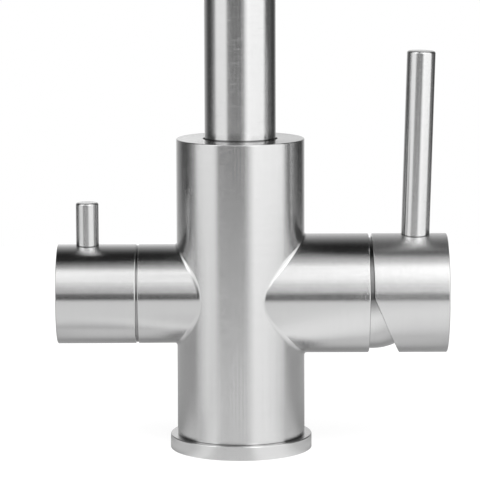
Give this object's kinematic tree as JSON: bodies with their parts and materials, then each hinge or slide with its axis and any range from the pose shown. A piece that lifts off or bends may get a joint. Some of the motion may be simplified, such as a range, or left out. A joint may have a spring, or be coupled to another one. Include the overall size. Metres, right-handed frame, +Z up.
{
  "type": "three way filtered water tap",
  "caption": "Kitchen tap with a swivelling swan neck spout, a mixer lever on one side arm and a filtered water lever on the other.",
  "frame": {"origin": "centre of the base ring's underside, on the worktop, on the column's axis", "axes": "+Z up along the column, +X along the mixer arm, -Y towards the user and along the spout"},
  "size_m": [0.1371, 0.2275, 0.3695],
  "materials": {
    "satin_steel": "circumferentially brushed satin stainless steel",
    "plain_steel": "machined stainless steel",
    "screw_steel": "dark hardened steel",
    "brass": "machined brass",
    "rubber": "black seal rubber",
    "ceramic": "lapped white alumina",
    "white_plastic": "moulded white plastic",
    "grey_plastic": "moulded grey plastic"
  },
  "bodies": {
    "column": {"body": "satin_steel", "base_ring": "satin_steel", "base_seal": "rubber", "inlet_block": "plain_steel", "filter_spigot": "brass", "spigot_o_ring": "rubber", "spout_lock_screw": "screw_steel", "cartridge_base": "white_plastic", "port_seals": "rubber", "cartridge_casing": "white_plastic", "mixer_fixed_disc": "ceramic", "clamp_nut": "brass", "dome_cover": "satin_steel", "valve_casing": "brass", "valve_seat_seal": "rubber", "valve_fixed_disc": "ceramic", "filter_collar": "satin_steel"},
    "mixer_rotor": {"cartridge_rotor": "white_plastic", "pivot_pin": "plain_steel"},
    "mixer_disc": {"mixer_moving_disc": "ceramic", "disc_carrier": "white_plastic"},
    "mixer_handle": {"lever_stem": "plain_steel", "mixer_cap": "satin_steel", "mixer_rod": "satin_steel", "mixer_screw": "screw_steel", "mixer_screw_plug": "grey_plastic"},
    "filter_handle": {"valve_spindle": "brass", "valve_moving_disc": "ceramic", "valve_o_rings": "rubber", "valve_clip": "plain_steel", "filter_knob": "satin_steel", "filter_rod": "satin_steel", "filter_screw": "screw_steel", "filter_screw_plug": "grey_plastic"},
    "spout": {"spout_tube": "satin_steel", "spout_foot": "brass", "foot_o_rings": "rubber", "slide_ring": "white_plastic", "filter_pipe": "white_plastic", "aerator_shell": "satin_steel", "aerator_core": "white_plastic", "aerator_washer": "rubber", "filter_nozzle": "plain_steel"}
  },
  "joints": [
    {"name": "spout_swivel", "type": "hinge", "parent": "column", "child": "spout", "pos_m": [0, 0, 0.103], "axis": [0, 0, 1], "continuous": true},
    {"name": "mixer_turn", "type": "hinge", "parent": "column", "child": "mixer_rotor", "pos_m": [0.0463, 0, 0.055], "axis": [1, 0, 0], "range_deg": [-50, 50]},
    {"name": "mixer_lift", "type": "hinge", "parent": "mixer_rotor", "child": "mixer_handle", "pos_m": [0.0463, 0, 0.055], "axis": [0, 1, 0], "range_deg": [0, 23]},
    {"name": "disc_slide", "type": "slide", "parent": "mixer_rotor", "child": "mixer_disc", "axis": [0, 0, 1], "range_m": [0, 0.00352]},
    {"name": "filter_turn", "type": "hinge", "parent": "column", "child": "filter_handle", "pos_m": [-0.0367, 0, 0.055], "axis": [1, 0, 0], "range_deg": [0, 90]}
  ],
  "couplings": [
    {"joint": "disc_slide", "follows": "mixer_lift", "m_per_rad": 0.00876}
  ]
}
